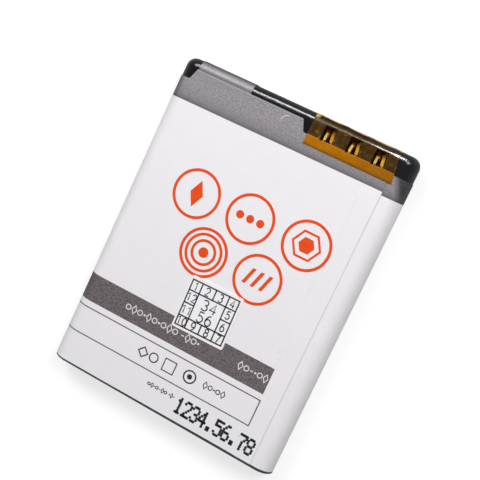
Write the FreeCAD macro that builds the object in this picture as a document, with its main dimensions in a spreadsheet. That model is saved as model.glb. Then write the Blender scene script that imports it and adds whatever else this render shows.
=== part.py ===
import FreeCAD, Part
import math
import os
import Sketcher

# A slim lithium pack for a mobile phone, lying on its back with its printed face up. X runs
# across it, Y along it with the contact end at +Y, Z is up. The origin is the middle of the
# back face. A wrapped film holds a sealed cell between a thin end plate and a moulded cap,
# and the cap houses a circuit board with three forked contacts.

SIZES = {
    # Whole pack
    "pack_width": 34.5,
    "pack_length": 45.5,
    "pack_thick": 4.2,
    # Wrapped label film, closed by an overlap on the printed face
    "film_thick": 0.08,
    "glue_gap": 0.01,
    "seam_inset": 2.875,
    "overlap_width": 2.4,
    "overlap_ramp": 0.5,
    "label_foot": 0.2,
    "tongue_setback": 0.07,
    "notch_drop": 3.0,
    "notch_inset": 1.9,
    "notch_slant": 0.55,
    "tongue_slant": 0.7,
    "slot_cover": 0.1,
    "side_step": 0.15,
    "label_corner": 0.3,
    "flap_inset": 2.575,
    "flap_width": 7.95,
    "flap_tail": 0.5,
    # Sticker on the printed face, laid on a little askew
    "sticker_width": 7.75,
    "sticker_height": 7.45,
    "sticker_thick": 0.08,
    "sticker_corner": 0.25,
    "sticker_across": 0.525,
    "sticker_along": 15.68,
    "sticker_turn": 1.3,
    # Amber film over the contacts
    "cover_thick": 0.06,
    "cover_width": 12.1,
    "cover_gap": 0.575,
    "cover_inset": 2.775,
    "cover_lap": 1.3,
    "cover_step": 0.25,
    "cover_tail": 0.6,
    # End plate and its adhesive
    "plate_thick": 0.6,
    "plate_round": 0.3,
    "tape_thick": 0.1,
    "tape_margin": 0.6,
    # Sealed cell
    "can_wall": 0.3,
    "can_round": 0.6,
    "lid_thick": 0.9,
    "flange_margin": 0.37,
    "flange_rim": 0.3,
    "flange_thick": 0.15,
    "head_cover": 0.15,
    "head_thick": 0.35,
    "bush_wall": 0.3,
    "plug_place": 5.2,
    "plug_width": 1.0,
    "vent_place": 9.6,
    "vent_length": 5.0,
    "vent_width": 1.6,
    "vent_groove": 0.25,
    "vent_depth": 0.2,
    # Insulating sheet between lid and cap
    "insulator_thick": 0.15,
    "insulator_margin": 0.3,
    "insulator_gap": 0.1,
    # Moulded cap
    "cap_length": 6.2,
    "cap_wall": 0.57,
    "cap_side_wall": 1.5,
    "cap_round": 1.3,
    "seat_depth": 3.12,
    "slot_width": 1.75,
    "slot_floor": 1.0,
    "contact_inset": 8.625,
    "contact_pitch": 3.6,
    # Forked contacts
    "leaf_thick": 0.14,
    "fork_gap": 0.225,
    "fork_setback": 1.02,
    "fork_depth": 0.95,
    "fork_base": 1.35,
    "leaf_root": 0.5,
    "pinch_setback": 0.5,
    "pinch_gap": 0.24,
    "mouth_gap": 0.8,
    # Circuit board and what it carries
    "board_end_gap": 0.97,
    "board_side_gap": 0.15,
    "board_thick": 0.6,
    "board_corner": 0.5,
    "tab_width": 3.2,
    "tab_inset": 1.2,
    "tab_thick": 0.12,
    "logic_length": 2.9,
    "logic_thick": 1.0,
    "switch_length": 3.0,
    "switch_margin": 0.3,
    "switch_thick": 0.75,
    "pin_pitch": 0.95,
    "pin_width": 0.4,
    "pin_reach": 0.35,
    "pin_margin": 0.15,
    "pin_thick": 0.15,
    "chip_length": 1.6,
    "chip_width": 0.8,
    "chip_thick": 0.45,
    "chip_end": 0.3,
    "chip_cap": 0.03,
    # Nickel strips and thermal fuse
    "strip_thick": 0.12,
    "strip_side_gap": 0.45,
    "strip_bend": 0.25,
    "strip_leg": 3.0,
    "riser_gap": 2.37,
    "fuse_leg": 4.5,
    "fuse_length": 5.0,
    "fuse_side_gap": 0.35,
    "fuse_thick": 0.7,
    "fuse_edge": 0.15,
    "fuse_overhang": 0.9,
}

doc = FreeCAD.newDocument("phone_battery")
sheet = doc.addObject("Spreadsheet::Sheet", "Sizes")
for row, (alias, size) in enumerate(SIZES.items(), start=1):
    sheet.set(f"A{row}", alias)
    sheet.set(f"B{row}", str(size))
    sheet.setAlias(f"B{row}", alias)
doc.recompute()

# Places that several pieces share, as expressions over the sheet
MIDDLE = "Sizes.pack_thick / 2"
CORE_WIDTH = "(Sizes.pack_width - 2 * Sizes.film_thick)"
CORE_THICK = "(Sizes.pack_thick - 2 * Sizes.film_thick)"
PACK_START = "(-Sizes.pack_length / 2)"
PACK_END = "(Sizes.pack_length / 2)"
CAP_END = "(Sizes.pack_length / 2 - Sizes.film_thick)"
HOLLOW_DEPTH = "(Sizes.cap_length - Sizes.seat_depth)"
CAP_START = f"({CAP_END} - Sizes.cap_length)"
ROUND_START = f"({CAP_END} - Sizes.cap_round)"
SEAT = f"({CAP_END} - Sizes.seat_depth)"
BOARD_INNER = f"({SEAT} - Sizes.board_thick)"
LID_TOP = f"({CAP_START} - Sizes.insulator_thick)"
CAN_START = f"({PACK_START} + Sizes.plate_thick + Sizes.tape_thick)"
CAN_LENGTH = f"({LID_TOP} - {CAN_START})"
RIVET_TOP = f"({LID_TOP} + Sizes.flange_thick + Sizes.head_thick)"
LID_WIDTH = f"({CORE_WIDTH} - 2 * Sizes.can_wall)"
LID_HEIGHT = f"({CORE_THICK} - 2 * Sizes.can_wall)"
FLANGE_WIDTH = f"({LID_HEIGHT} - 2 * Sizes.flange_margin)"
HEAD_WIDTH = f"({FLANGE_WIDTH} - 2 * Sizes.flange_rim)"
RIVET_HOLE = f"({HEAD_WIDTH} - 2 * Sizes.head_cover)"
SHANK_WIDTH = f"({RIVET_HOLE} - 2 * Sizes.bush_wall)"
HOLLOW_WIDTH = f"({CORE_WIDTH} - 2 * Sizes.cap_side_wall)"
HOLLOW_HEIGHT = f"({CORE_THICK} - 2 * Sizes.cap_wall)"
BOARD_WIDTH = f"({HOLLOW_WIDTH} - 2 * Sizes.board_end_gap)"
BOARD_HEIGHT = f"({HOLLOW_HEIGHT} - 2 * Sizes.board_side_gap)"
TAB_INNER = f"({BOARD_WIDTH} / 2 - Sizes.tab_inset - Sizes.tab_width)"
CHIP_SPAN = "(Sizes.chip_length + 2 * Sizes.chip_cap)"
STRIP_WIDTH = f"({HOLLOW_HEIGHT} - 2 * Sizes.strip_side_gap)"
RISER_PLACE = f"({HOLLOW_WIDTH} / 2 - Sizes.riser_gap)"
FUSE_OUTER = f"({RISER_PLACE} - Sizes.fuse_leg)"
FUSE_INNER = f"({FUSE_OUTER} - Sizes.fuse_length)"
CONTACT_MIDDLE = "(Sizes.pack_width / 2 - Sizes.contact_inset)"
CONTACT_EDGE = f"({SEAT} + Sizes.slot_cover)"
TONGUE_EDGE = f"({ROUND_START} - Sizes.tongue_setback)"
LABEL_START = f"({PACK_START} + Sizes.label_foot)"
COVER_END = "(Sizes.pack_width / 2 - Sizes.cover_inset)"
COVER_START = f"({COVER_END} - Sizes.cover_width)"
TONGUE_ROOT = f"({COVER_START} - Sizes.cover_gap)"
TONGUE_TIP = f"({TONGUE_ROOT} - Sizes.tongue_slant)"
SEAM = "(Sizes.pack_width / 2 - Sizes.seam_inset)"
LAP_START = f"({SEAM} - Sizes.overlap_width)"
LAP_LOW = "(Sizes.pack_thick + Sizes.glue_gap)"
LAP_TOP = "(Sizes.pack_thick + Sizes.glue_gap + Sizes.film_thick)"

solids = []


def value(expression):
    """The present value of an expression over the sheet."""
    return float(sheet.evalExpression(str(expression)))


def new_body(label, x="0", y="0", z="0"):
    """An empty body whose own origin stands at x, y, z of the pack."""
    body = doc.addObject("PartDesign::Body", label)
    body.Label = label
    body.setExpression("Placement.Base.x", x)
    body.setExpression("Placement.Base.y", y)
    body.setExpression("Placement.Base.z", z)
    solids.append(body)
    return body


def new_sketch(body, role, offset="0"):
    """A sketch on one of the body's origin planes, moved along the plane's normal."""
    plane = next(item for item in body.Origin.OriginFeatures if item.Role == role)
    sketch = body.newObject("Sketcher::SketchObject", f"{body.Name}_sketch")
    sketch.AttachmentSupport = [(plane, "")]
    sketch.MapMode = "FlatFace"
    sketch.setExpression("AttachmentOffset.Base.z", offset)
    return sketch


def locate(sketch, geometry, point, across, along):
    """Ties one point of a sketch to two expressions, measured from the sketch's origin."""
    for kind, expression in (("DistanceX", across), ("DistanceY", along)):
        if expression is not None:
            constraint = Sketcher.Constraint(kind, -1, 1, geometry, point, value(expression))
            index = sketch.addConstraint(constraint)
            sketch.setExpression(f"Constraints[{index}]", expression)


def trace(sketch, corners):
    """A closed outline. A corner is (across, along) for a straight run up to it, or
    (across, along, centre across, centre along, turn) for an arc, turn +1 or -1."""
    spots = [FreeCAD.Vector(value(c[0]), value(c[1]), 0) for c in corners]
    ends = []
    for index, corner in enumerate(corners):
        start = spots[index - 1]
        stop = spots[index]
        if len(corner) == 2:
            line = sketch.addGeometry(Part.LineSegment(start, stop), False)
            ends.append((line, 1, 2))
            continue
        centre = FreeCAD.Vector(value(corner[2]), value(corner[3]), 0)
        ring = Part.Circle(centre, FreeCAD.Vector(0, 0, 1), (stop - centre).Length)
        first, last = (start, stop) if corner[4] > 0 else (stop, start)
        low = math.atan2(first.y - centre.y, first.x - centre.x)
        high = math.atan2(last.y - centre.y, last.x - centre.x)
        if high <= low:
            high += 2 * math.pi
        arc = sketch.addGeometry(Part.ArcOfCircle(ring, low, high), False)
        ends.append((arc, 1, 2) if corner[4] > 0 else (arc, 2, 1))
        upright = abs(stop.y - start.y) >= abs(stop.x - start.x)
        locate(sketch, arc, 3, corner[2] if upright else None, None if upright else corner[3])
    for index, (geometry, _, far) in enumerate(ends):
        following, near, _ = ends[(index + 1) % len(ends)]
        sketch.addConstraint(Sketcher.Constraint("Coincident", geometry, far, following, near))
        locate(sketch, geometry, far, corners[index][0], corners[index][1])


def rectangle(sketch, left, right, low, high):
    trace(sketch, [(left, low), (right, low), (right, high), (left, high)])


def stadium(sketch, width, height, across="0", along="0"):
    """A slot outline whose short sides are half rounds."""
    right = f"{across} + ({width} - {height}) / 2"
    left = f"{across} - ({width} - {height}) / 2"
    low = f"{along} - {height} / 2"
    high = f"{along} + {height} / 2"
    trace(sketch, [(right, low), (right, high, right, along, 1),
                   (left, high), (left, low, left, along, 1)])


def rounded_rectangle(sketch, width, height, corner):
    """A rectangle about the sketch's origin with four round corners."""
    side, inner_side = f"{width} / 2", f"({width} / 2 - {corner})"
    top, inner_top = f"{height} / 2", f"({height} / 2 - {corner})"
    trace(sketch, [
        (inner_side, f"-{top}"), (side, f"-{inner_top}", inner_side, f"-{inner_top}", 1),
        (side, inner_top), (inner_side, top, inner_side, inner_top, 1),
        (f"-{inner_side}", top), (f"-{side}", inner_top, f"-{inner_side}", inner_top, 1),
        (f"-{side}", f"-{inner_top}"),
        (f"-{inner_side}", f"-{top}", f"-{inner_side}", f"-{inner_top}", 1)])


def circle(sketch, diameter, across="0", along="0"):
    centre = FreeCAD.Vector(value(across), value(along), 0)
    ring = Part.Circle(centre, FreeCAD.Vector(0, 0, 1), value(diameter) / 2)
    index = sketch.addGeometry(ring, False)
    locate(sketch, index, 3, across, along)
    constraint = sketch.addConstraint(Sketcher.Constraint("Diameter", index, value(diameter)))
    sketch.setExpression(f"Constraints[{constraint}]", diameter)


def pad(body, sketch, length, backward=False):
    """Adds material along the plane's normal, or against it."""
    feature = body.newObject("PartDesign::Pad", f"{body.Name}_pad")
    feature.Profile = sketch
    feature.Reversed = backward
    feature.setExpression("Length", length)
    return feature


def pocket(body, sketch, depth, forward=False):
    """Takes material away against the plane's normal, or along it."""
    feature = body.newObject("PartDesign::Pocket", f"{body.Name}_pocket")
    feature.Profile = sketch
    feature.Reversed = forward
    feature.setExpression("Length", depth)
    return feature


def fillet(body, base, radius, wanted):
    """Rounds the edges of the last feature that a test picks."""
    doc.recompute()
    names = [f"Edge{i}" for i, edge in enumerate(base.Shape.Edges, start=1) if wanted(edge)]
    feature = body.newObject("PartDesign::Fillet", f"{body.Name}_fillet")
    feature.Base = (base, names)
    feature.setExpression("Radius", radius)


def lies_at(edge, along):
    """True for an edge whose every point has one place along Y."""
    box = edge.BoundBox
    return abs(box.YMin - along) < 1e-4 and abs(box.YMax - along) < 1e-4


def stands_at(edge, spots):
    """True for an edge parallel to Z at one of the given places."""
    box = edge.BoundBox
    upright = box.XLength < 1e-4 and box.YLength < 1e-4
    return upright and any(math.hypot(box.XMin - x, box.YMin - y) < 1e-3 for x, y in spots)


# Thin moulded plate at the closed end, its outer rim rounded
def bottom_cap():
    body = new_body("bottom_cap", y=PACK_START, z=MIDDLE)
    profile = new_sketch(body, "XZ_Plane")
    stadium(profile, CORE_WIDTH, CORE_THICK)
    plate = pad(body, profile, "Sizes.plate_thick", backward=True)
    fillet(body, plate, "Sizes.plate_round", lambda edge: lies_at(edge, 0))


# Adhesive sheet that holds the plate to the can
def bottom_adhesive():
    body = new_body("bottom_adhesive", y=f"{PACK_START} + Sizes.plate_thick", z=MIDDLE)
    profile = new_sketch(body, "XZ_Plane")
    stadium(profile, f"({CORE_WIDTH} - 2 * Sizes.tape_margin)",
            f"({CORE_THICK} - 2 * Sizes.tape_margin)")
    pad(body, profile, "Sizes.tape_thick", backward=True)


# Drawn aluminium can with its sealed contents, and a rebate for the welded lid
def cell_can():
    body = new_body("cell_can", y=CAN_START, z=MIDDLE)
    profile = new_sketch(body, "XZ_Plane")
    stadium(profile, CORE_WIDTH, CORE_THICK)
    can = pad(body, profile, CAN_LENGTH, backward=True)
    fillet(body, can, "Sizes.can_round", lambda edge: lies_at(edge, 0))
    mouth = new_sketch(body, "XZ_Plane", f"-{CAN_LENGTH}")
    stadium(mouth, LID_WIDTH, LID_HEIGHT)
    pocket(body, mouth, "Sizes.lid_thick", forward=True)


# Lid plate with the holes for the rivet and the filling plug, and an oval vent groove
def cell_lid():
    body = new_body("cell_lid", y=f"{LID_TOP} - Sizes.lid_thick", z=MIDDLE)
    profile = new_sketch(body, "XZ_Plane")
    stadium(profile, LID_WIDTH, LID_HEIGHT)
    circle(profile, RIVET_HOLE)
    circle(profile, "Sizes.plug_width", "Sizes.plug_place")
    pad(body, profile, "Sizes.lid_thick", backward=True)
    groove = new_sketch(body, "XZ_Plane", "-Sizes.lid_thick")
    inner_length = "(Sizes.vent_length - 2 * Sizes.vent_groove)"
    inner_width = "(Sizes.vent_width - 2 * Sizes.vent_groove)"
    stadium(groove, "Sizes.vent_length", "Sizes.vent_width", "-Sizes.vent_place")
    stadium(groove, inner_length, inner_width, "-Sizes.vent_place")
    pocket(body, groove, "Sizes.vent_depth", forward=True)


# Flanged bush that keeps the rivet apart from the lid
def lid_gasket():
    body = new_body("lid_gasket", y=f"{LID_TOP} - Sizes.lid_thick", z=MIDDLE)
    sleeve = new_sketch(body, "XZ_Plane")
    circle(sleeve, RIVET_HOLE)
    circle(sleeve, SHANK_WIDTH)
    pad(body, sleeve, "Sizes.lid_thick", backward=True)
    flange = new_sketch(body, "XZ_Plane", "-Sizes.lid_thick")
    circle(flange, FLANGE_WIDTH)
    circle(flange, SHANK_WIDTH)
    pad(body, flange, "Sizes.flange_thick", backward=True)


# Rivet that brings the negative pole out through the lid
def terminal_rivet():
    body = new_body("terminal_rivet", y=f"{LID_TOP} - Sizes.lid_thick", z=MIDDLE)
    shank = new_sketch(body, "XZ_Plane")
    circle(shank, SHANK_WIDTH)
    neck = "(Sizes.lid_thick + Sizes.flange_thick)"
    pad(body, shank, neck, backward=True)
    head = new_sketch(body, "XZ_Plane", f"-{neck}")
    circle(head, HEAD_WIDTH)
    pad(body, head, "Sizes.head_thick", backward=True)


# Plug that closes the filling hole, flush with the lid
def fill_plug():
    body = new_body("fill_plug", "Sizes.plug_place", f"{LID_TOP} - Sizes.lid_thick", MIDDLE)
    profile = new_sketch(body, "XZ_Plane")
    circle(profile, "Sizes.plug_width")
    pad(body, profile, "Sizes.lid_thick", backward=True)


# Insulating sheet on the lid, open at the rivet and where the positive strip is welded
def lid_insulator():
    body = new_body("lid_insulator", y=LID_TOP, z=MIDDLE)
    profile = new_sketch(body, "XZ_Plane")
    stadium(profile, f"({CORE_WIDTH} - 2 * Sizes.insulator_margin)",
            f"({CORE_THICK} - 2 * Sizes.insulator_margin)")
    circle(profile, f"({FLANGE_WIDTH} + 2 * Sizes.insulator_gap)")
    reach = f"({STRIP_WIDTH} / 2 + Sizes.insulator_gap)"
    rectangle(profile, f"({RISER_PLACE} - Sizes.strip_leg - Sizes.insulator_gap)",
              f"({RISER_PLACE} + Sizes.insulator_gap)", f"-{reach}", reach)
    pad(body, profile, "Sizes.insulator_thick", backward=True)


# Moulded cap: a stadium block with a rounded end, hollow towards the cell, with three slots
# that open to the printed face and to the end
def top_cap():
    body = new_body("top_cap", y=CAP_START, z=MIDDLE)
    profile = new_sketch(body, "XZ_Plane")
    stadium(profile, CORE_WIDTH, CORE_THICK)
    block = pad(body, profile, "Sizes.cap_length", backward=True)
    fillet(body, block, "Sizes.cap_round",
           lambda edge: lies_at(edge, value("Sizes.cap_length")))
    hollow = new_sketch(body, "XZ_Plane")
    stadium(hollow, HOLLOW_WIDTH, HOLLOW_HEIGHT)
    pocket(body, hollow, HOLLOW_DEPTH)
    slots = new_sketch(body, "XY_Plane", f"Sizes.slot_floor - {MIDDLE}")
    for step in (-1, 0, 1):
        middle = f"{CONTACT_MIDDLE} + {step} * Sizes.contact_pitch"
        rectangle(slots, f"{middle} - Sizes.slot_width / 2", f"{middle} + Sizes.slot_width / 2",
                  HOLLOW_DEPTH, "Sizes.cap_length + Sizes.cap_round")
    pocket(body, slots, "Sizes.pack_thick", forward=True)


# Forked contact of thin strip, seated on the board's outer face: two leaves that close to a
# pinch and flare at the mouth
def contact(label, step):
    body = new_body(label, f"{CONTACT_MIDDLE} + {step} * Sizes.contact_pitch", SEAT,
                    "Sizes.fork_base")
    outline = new_sketch(body, "XY_Plane")
    outer = "(Sizes.slot_width / 2 - Sizes.fork_gap)"
    inner = f"({outer} - Sizes.leaf_thick)"
    pinch = "Sizes.pinch_gap / 2"
    pinch_outer = "(Sizes.pinch_gap / 2 + Sizes.leaf_thick)"
    mouth = "Sizes.mouth_gap / 2"
    mouth_outer = "(Sizes.mouth_gap / 2 + Sizes.leaf_thick)"
    tip = "(Sizes.seat_depth - Sizes.fork_setback)"
    pinch_place = f"({tip} - Sizes.pinch_setback)"
    right = [(outer, "0"), (outer, "Sizes.leaf_root"), (pinch_outer, pinch_place),
             (mouth_outer, tip), (mouth, tip), (pinch, pinch_place),
             (inner, "Sizes.leaf_root"), (inner, "Sizes.leaf_thick")]
    left = [(f"-{across}", along) for across, along in reversed(right)]
    trace(outline, right + left)
    pad(body, outline, "(Sizes.pack_thick - Sizes.fork_base - Sizes.fork_depth)")


# Board that stands across the cap behind the contacts
def circuit_board():
    body = new_body("circuit_board", y=BOARD_INNER, z=MIDDLE)
    profile = new_sketch(body, "XZ_Plane")
    rounded_rectangle(profile, BOARD_WIDTH, BOARD_HEIGHT, "Sizes.board_corner")
    pad(body, profile, "Sizes.board_thick", backward=True)


# Nickel tab soldered to the board's inner face
def board_tab(label, side):
    place = f"({TAB_INNER} + Sizes.tab_width / 2)"
    body = new_body(label, f"{side} * {place}", f"{BOARD_INNER} - Sizes.tab_thick", MIDDLE)
    profile = new_sketch(body, "XZ_Plane")
    rectangle(profile, "-Sizes.tab_width / 2", "Sizes.tab_width / 2",
              f"-{STRIP_WIDTH} / 2", f"{STRIP_WIDTH} / 2")
    pad(body, profile, "Sizes.tab_thick", backward=True)


# Control chip with three pins on each long side
def protection_chip(label, place):
    body = new_body(label, place, BOARD_INNER, MIDDLE)
    profile = new_sketch(body, "XZ_Plane")
    tip = f"({BOARD_HEIGHT} / 2 - Sizes.pin_margin)"
    side = f"({tip} - Sizes.pin_reach)"
    rectangle(profile, "-Sizes.logic_length / 2", "Sizes.logic_length / 2", f"-{side}", side)
    pad(body, profile, "Sizes.logic_thick")
    pins = new_sketch(body, "XZ_Plane")
    for step in (-1, 0, 1):
        left = f"{step} * Sizes.pin_pitch - Sizes.pin_width / 2"
        right = f"{step} * Sizes.pin_pitch + Sizes.pin_width / 2"
        rectangle(pins, left, right, f"-{tip}", tip)
    pad(body, pins, "Sizes.pin_thick")


# Flat leadless chip that switches the current
def switch_chip(label, place):
    body = new_body(label, place, BOARD_INNER, MIDDLE)
    profile = new_sketch(body, "XZ_Plane")
    side = f"({BOARD_HEIGHT} / 2 - Sizes.switch_margin)"
    rectangle(profile, "-Sizes.switch_length / 2", "Sizes.switch_length / 2", f"-{side}", side)
    pad(body, profile, "Sizes.switch_thick")


# Small chip part: a ceramic block between two slightly thicker metal ends
def chip_part(label, place):
    body = new_body(label, place, BOARD_INNER, MIDDLE)
    core = new_sketch(body, "XZ_Plane")
    half = "Sizes.chip_length / 2"
    reach = "(Sizes.chip_width / 2)"
    rectangle(core, f"-{half}", half, f"-{reach}", reach)
    pad(body, core, "Sizes.chip_thick")
    ends = new_sketch(body, "XZ_Plane")
    edge = "(Sizes.chip_width / 2 + Sizes.chip_cap)"
    inner = "(Sizes.chip_length / 2 - Sizes.chip_end)"
    rectangle(ends, f"-{half} - Sizes.chip_cap", f"-{inner}", f"-{edge}", edge)
    rectangle(ends, inner, f"{half} + Sizes.chip_cap", f"-{edge}", edge)
    pad(body, ends, "(Sizes.chip_thick + Sizes.chip_cap)")


# The parts stand in a row between the board's tabs, with equal gaps. The two tall chips come
# last, clear of the fuse and its strip
def board_parts():
    row = [("sense_resistor", chip_part, CHIP_SPAN), ("bypass_capacitor", chip_part, CHIP_SPAN),
           ("id_resistor", chip_part, CHIP_SPAN), ("supply_resistor", chip_part, CHIP_SPAN),
           ("protection_chip", protection_chip, "Sizes.logic_length"),
           ("switch_chip", switch_chip, "Sizes.switch_length")]
    total = " + ".join(length for _, _, length in row)
    gap = f"((2 * {TAB_INNER} - ({total})) / {len(row) + 1})"
    edge = f"-{TAB_INNER}"
    for label, make, length in row:
        make(label, f"({edge} + {gap} + {length} / 2)")
        edge = f"{edge} + {gap} + {length}"


# Folded strip of nickel: a lower leg, a riser and an upper leg under the board's tab. Seen
# along Z it is a C that opens towards the middle of the pack
def folded_strip(label, side, foot, lower_end):
    body = new_body(label, "0", foot, f"{MIDDLE} - {STRIP_WIDTH} / 2")
    outline = new_sketch(body, "XY_Plane")
    height = f"({BOARD_INNER} - Sizes.tab_thick - ({foot}))"
    thick = "Sizes.strip_thick"
    outer_bend = "(Sizes.strip_bend + Sizes.strip_thick)"
    outer = f"{side} * {RISER_PLACE}"
    inner = f"{side} * ({RISER_PLACE} - {thick})"
    bend = f"{side} * ({RISER_PLACE} - {outer_bend})"
    upper_end = f"{side} * ({RISER_PLACE} - Sizes.strip_leg)"
    top_inner = f"({height} - {thick})"
    trace(outline, [
        (lower_end, "0"), (bend, "0"),
        (outer, outer_bend, bend, outer_bend, side),
        (outer, f"{height} - {outer_bend}"),
        (bend, height, bend, f"{height} - {outer_bend}", side),
        (upper_end, height), (upper_end, top_inner), (bend, top_inner),
        (inner, f"{height} - {outer_bend}", bend, f"{height} - {outer_bend}", -side),
        (inner, outer_bend),
        (bend, thick, bend, outer_bend, -side),
        (lower_end, thick)])
    pad(body, outline, STRIP_WIDTH)


# Thermal fuse lying flat on the insulating sheet, its four corners rounded
def thermal_fuse():
    body = new_body("thermal_fuse", f"-({FUSE_OUTER} + {FUSE_INNER}) / 2", CAP_START, MIDDLE)
    profile = new_sketch(body, "XZ_Plane")
    rounded_rectangle(profile, "Sizes.fuse_length",
                      f"({HOLLOW_HEIGHT} - 2 * Sizes.fuse_side_gap)", "Sizes.fuse_edge")
    pad(body, profile, "Sizes.fuse_thick", backward=True)


# Straight strip from the rivet's head to the fuse
def fuse_lead():
    body = new_body("fuse_lead", "0", RIVET_TOP, MIDDLE)
    profile = new_sketch(body, "XZ_Plane")
    rectangle(profile, f"-{FUSE_INNER}", "Sizes.fuse_overhang",
              f"-{STRIP_WIDTH} / 2", f"{STRIP_WIDTH} / 2")
    pad(body, profile, "Sizes.strip_thick", backward=True)


# Label film wrapped once round the pack, its end lapped over its start on the printed face.
# Its end at the contacts is cut to a notch, a tongue and a straight edge, and a flap of the
# tongue folds over the rounded end of the cap
def wrap_label():
    body = new_body("wrap_label", y=LABEL_START)
    film = "Sizes.film_thick"
    top = "Sizes.pack_thick"
    under_top = f"({top} - {film})"
    right = f"({CORE_WIDTH} - {CORE_THICK}) / 2"
    left = f"-({CORE_WIDTH} - {CORE_THICK}) / 2"
    ramp_top = f"({LAP_START} - Sizes.film_thick)"
    ramp_foot = f"({ramp_top} - Sizes.overlap_ramp)"
    section = new_sketch(body, "XZ_Plane")
    trace(section, [
        (LAP_START, top), (right, top), (right, "0", right, MIDDLE, -1),
        (left, "0"), (left, top, left, MIDDLE, -1),
        (ramp_foot, top), (ramp_top, LAP_TOP), (SEAM, LAP_TOP), (SEAM, LAP_LOW),
        (ramp_top, LAP_LOW), (ramp_foot, under_top),
        (left, under_top), (left, film, left, MIDDLE, 1),
        (right, film), (right, under_top, right, MIDDLE, 1), (LAP_START, under_top)])
    pad(body, section, f"({TONGUE_EDGE} - {LABEL_START})", backward=True)

    edge = f"({TONGUE_EDGE} - {LABEL_START})"
    beyond = f"({edge} + Sizes.cap_round)"
    outside = "(Sizes.pack_width / 2 + Sizes.cap_round)"
    notch = f"({PACK_END} - Sizes.notch_drop - {LABEL_START})"
    notch_side = "(Sizes.pack_width / 2 - Sizes.notch_inset)"
    slant = f"({notch_side} - Sizes.notch_slant)"
    contact_edge = f"({CONTACT_EDGE} - {LABEL_START})"
    side_edge = f"({contact_edge} - Sizes.side_step)"
    front = new_sketch(body, "XY_Plane", MIDDLE)
    trace(front, [
        (f"-{outside}", notch), (f"-{notch_side}", notch), (f"-{slant}", edge),
        (f"-{slant}", beyond), (f"-{outside}", beyond)])
    trace(front, [
        (TONGUE_TIP, edge), (TONGUE_ROOT, contact_edge), (SEAM, contact_edge),
        (SEAM, side_edge), (outside, side_edge), (outside, beyond), (TONGUE_TIP, beyond)])
    pocket(body, front, "Sizes.pack_thick", forward=True)
    back = new_sketch(body, "XY_Plane", MIDDLE)
    trace(back, [
        (f"-{outside}", notch), (f"-{notch_side}", notch), (f"-{slant}", edge),
        (f"-{slant}", beyond), (f"-{outside}", beyond)])
    trace(back, [
        (slant, edge), (notch_side, side_edge), (outside, side_edge),
        (outside, beyond), (slant, beyond)])
    cut = pocket(body, back, "Sizes.pack_thick")
    corners = [(f"-{notch_side}", notch), (TONGUE_TIP, edge), (TONGUE_ROOT, contact_edge),
               (notch_side, side_edge), (slant, edge)]
    spots = [(value(across), value(place)) for across, place in corners]
    fillet(body, cut, "Sizes.label_corner", lambda edge: stands_at(edge, spots))

    flap = new_sketch(body, "YZ_Plane", "Sizes.flap_inset - Sizes.pack_width / 2")
    bend_start = f"({ROUND_START} - {LABEL_START})"
    inner_end = f"({CAP_END} - {LABEL_START})"
    outer_end = f"({inner_end} + {film})"
    bend_low = f"({under_top} - Sizes.cap_round)"
    tail = f"({film} + Sizes.cap_round + Sizes.flap_tail)"
    trace(flap, [
        (edge, under_top), (bend_start, under_top),
        (inner_end, bend_low, bend_start, bend_low, -1), (inner_end, tail),
        (outer_end, tail), (outer_end, bend_low),
        (bend_start, top, bend_start, bend_low, 1), (edge, top)])
    pad(body, flap, "Sizes.flap_width")


# Square sticker stuck on the label
def date_sticker():
    body = new_body("date_sticker", "Sizes.sticker_across",
                    f"{PACK_START} + Sizes.sticker_along", "Sizes.pack_thick")
    body.Placement = FreeCAD.Placement(body.Placement.Base, FreeCAD.Vector(0, 0, 1), 1)
    body.setExpression("Placement.Rotation.Angle", "Sizes.sticker_turn")
    profile = new_sketch(body, "XY_Plane")
    rounded_rectangle(profile, "Sizes.sticker_width", "Sizes.sticker_height",
                      "Sizes.sticker_corner")
    pad(body, profile, "Sizes.sticker_thick")


# Amber film from the label over the slots, round the end of the cap and down its end. It
# lies one film higher where the label laps over itself
def contact_film():
    body = new_body("contact_film")
    thick = "Sizes.cover_thick"
    foot = f"({CONTACT_EDGE} - Sizes.cover_lap)"
    face = "(Sizes.pack_thick - Sizes.film_thick)"
    bend_low = f"({face} - Sizes.cap_round)"
    outer_end = f"({CAP_END} + {thick})"
    tail = "(Sizes.film_thick + Sizes.cap_round - Sizes.cover_tail)"
    lap_start = f"({LAP_START} - 2 * Sizes.overlap_ramp)"
    spans = [(COVER_START, lap_start, "Sizes.pack_thick"), (lap_start, COVER_END, LAP_TOP)]
    for start, end, rest in spans:
        profile = new_sketch(body, "YZ_Plane", start)
        trace(profile, [
            (foot, rest), (CONTACT_EDGE, rest), (CONTACT_EDGE, face), (ROUND_START, face),
            (CAP_END, bend_low, ROUND_START, bend_low, -1), (CAP_END, tail),
            (outer_end, tail), (outer_end, bend_low),
            (ROUND_START, f"{face} + {thick}", ROUND_START, bend_low, 1),
            (f"{CONTACT_EDGE} + Sizes.cover_step", f"{face} + {thick}"),
            (f"{CONTACT_EDGE} + {thick}", f"{rest} + {thick}"), (foot, f"{rest} + {thick}")])
        pad(body, profile, f"({end} - {start})")


bottom_cap()
bottom_adhesive()
cell_can()
cell_lid()
lid_gasket()
terminal_rivet()
fill_plug()
lid_insulator()
top_cap()
contact("contact_negative", -1)
contact("contact_id", 0)
contact("contact_positive", 1)
circuit_board()
board_tab("board_tab_negative", -1)
board_tab("board_tab_positive", 1)
board_parts()
folded_strip("negative_lead", -1, RIVET_TOP, f"-{FUSE_OUTER}")
folded_strip("positive_lead", 1, LID_TOP, f"({RISER_PLACE} - Sizes.strip_leg)")
thermal_fuse()
fuse_lead()
wrap_label()
date_sticker()
contact_film()
doc.recompute()

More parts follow.
